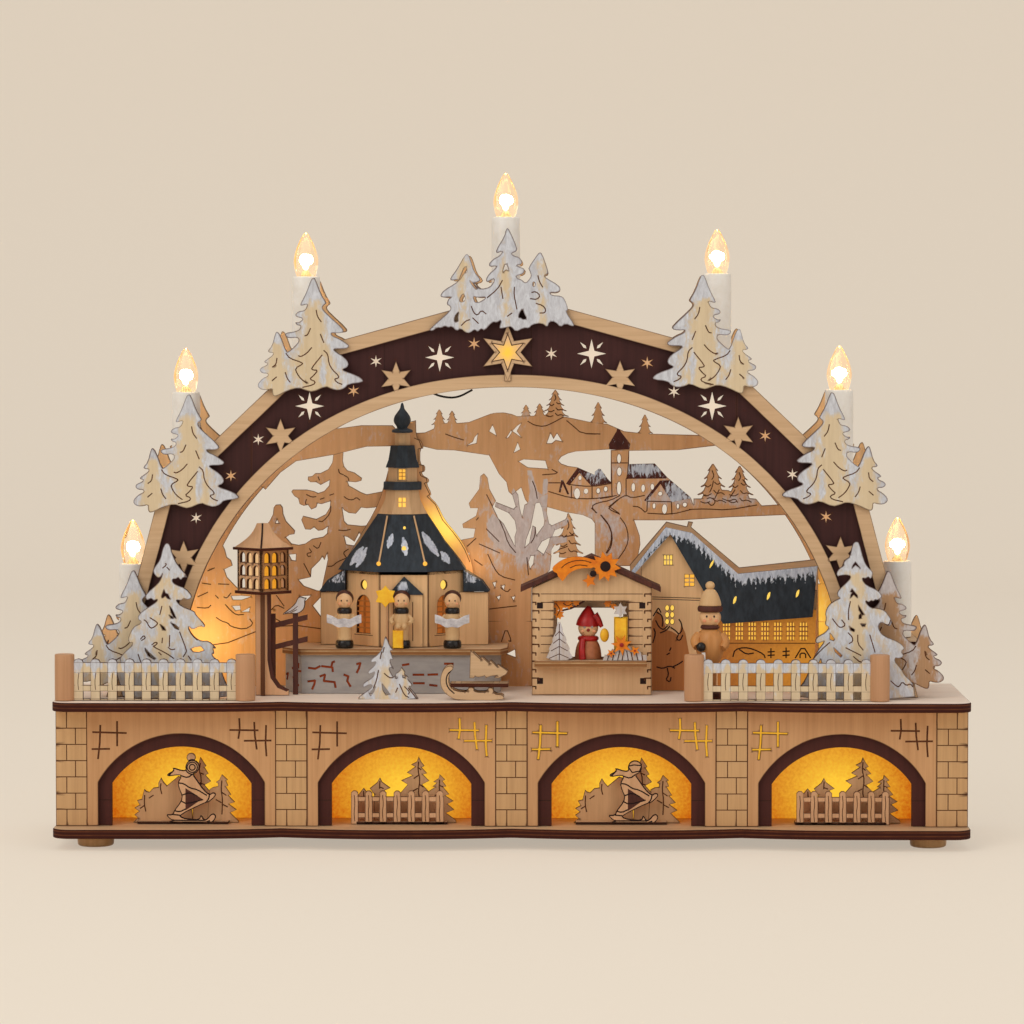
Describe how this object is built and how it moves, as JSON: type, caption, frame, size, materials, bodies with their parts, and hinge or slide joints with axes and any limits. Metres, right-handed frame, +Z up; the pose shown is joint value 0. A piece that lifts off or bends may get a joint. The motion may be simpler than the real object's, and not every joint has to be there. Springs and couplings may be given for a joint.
{
  "type": "candle arch",
  "caption": "Raised double candle arch with electric candles on a lit niche plinth, holding a cut plywood Christmas village scene.",
  "frame": {"origin": "on the ground, under the middle of the plinth's plates", "axes": "+X to the right seen from the front, -Y towards the viewer, +Z up"},
  "size_m": [0.6, 0.15, 0.4441],
  "materials": {
    "birch_ply": "raw birch plywood, burnt cut edges",
    "dark_ply": "stained dark brown plywood, satin",
    "snowy_ply": "plywood brushed with snow-white paint",
    "turned_wood": "turned beech, waxed",
    "roof_paint": "plywood painted anthracite, matte",
    "stone_paint": "plywood painted stone grey, matte",
    "glow_sheet": "fibrous translucent sheet, lit from behind",
    "white_plastic": "ivory white moulded plastic",
    "lamp_glass": "clear fluted glass, lit"
  },
  "bodies": {
    "arch": {"bottom_plate": "birch_ply", "top_plate": "birch_ply", "front_wall": "birch_ply", "left_wall": "birch_ply", "right_wall": "birch_ply", "niche_scene_1": "birch_ply", "niche_scene_2": "birch_ply", "niche_scene_3": "birch_ply", "niche_scene_4": "birch_ply", "arch_rims": "birch_ply", "arch_rear": "birch_ply", "sled": "birch_ply", "lantern": "birch_ply", "church": "birch_ply", "stall": "birch_ply", "house": "birch_ply", "trim_board": "dark_ply", "arch_panel": "dark_ply", "rail_fence": "dark_ply", "stall_roof": "dark_ply", "tree_cluster_1": "snowy_ply", "tree_cluster_2": "snowy_ply", "tree_cluster_3": "snowy_ply", "tree_cluster_4": "snowy_ply", "tree_cluster_5": "snowy_ply", "tree_cluster_6": "snowy_ply", "tree_cluster_7": "snowy_ply", "fence_left": "snowy_ply", "fence_right": "snowy_ply", "fir_left": "snowy_ply", "fir_right": "snowy_ply", "small_firs": "snowy_ply", "carol_singers": "turned_wood", "turned_figure": "turned_wood", "stall_keeper": "turned_wood", "foot_front_left": "turned_wood", "foot_front_right": "turned_wood", "foot_rear_left": "turned_wood", "foot_rear_right": "turned_wood", "house_roof": "roof_paint", "church_roof": "roof_paint", "church_tower": "roof_paint", "church_platform": "stone_paint", "glow_sheet": "glow_sheet", "candle_1": "white_plastic", "candle_2": "white_plastic", "candle_3": "white_plastic", "candle_4": "white_plastic", "candle_5": "white_plastic", "candle_6": "white_plastic", "candle_7": "white_plastic", "lamp_rail": "white_plastic"},
    "rear_board": {"rear_board": "birch_ply"},
    "bulb_1": {"bulb_1": "lamp_glass"},
    "bulb_2": {"bulb_2": "lamp_glass"},
    "bulb_3": {"bulb_3": "lamp_glass"},
    "bulb_4": {"bulb_4": "lamp_glass"},
    "bulb_5": {"bulb_5": "lamp_glass"},
    "bulb_6": {"bulb_6": "lamp_glass"},
    "bulb_7": {"bulb_7": "lamp_glass"}
  },
  "joints": [
    {"name": "rear_board_pull", "type": "slide", "parent": "arch", "child": "rear_board", "axis": [0, 1, 0], "range_m": [0, 0.04]},
    {"name": "bulb_1_lift", "type": "slide", "parent": "arch", "child": "bulb_1", "axis": [0, 0, 1], "range_m": [0, 0.02]},
    {"name": "bulb_2_lift", "type": "slide", "parent": "arch", "child": "bulb_2", "axis": [0, 0, 1], "range_m": [0, 0.02]},
    {"name": "bulb_3_lift", "type": "slide", "parent": "arch", "child": "bulb_3", "axis": [0, 0, 1], "range_m": [0, 0.02]},
    {"name": "bulb_4_lift", "type": "slide", "parent": "arch", "child": "bulb_4", "axis": [0, 0, 1], "range_m": [0, 0.02]},
    {"name": "bulb_5_lift", "type": "slide", "parent": "arch", "child": "bulb_5", "axis": [0, 0, 1], "range_m": [0, 0.02]},
    {"name": "bulb_6_lift", "type": "slide", "parent": "arch", "child": "bulb_6", "axis": [0, 0, 1], "range_m": [0, 0.02]},
    {"name": "bulb_7_lift", "type": "slide", "parent": "arch", "child": "bulb_7", "axis": [0, 0, 1], "range_m": [0, 0.02]}
  ]
}
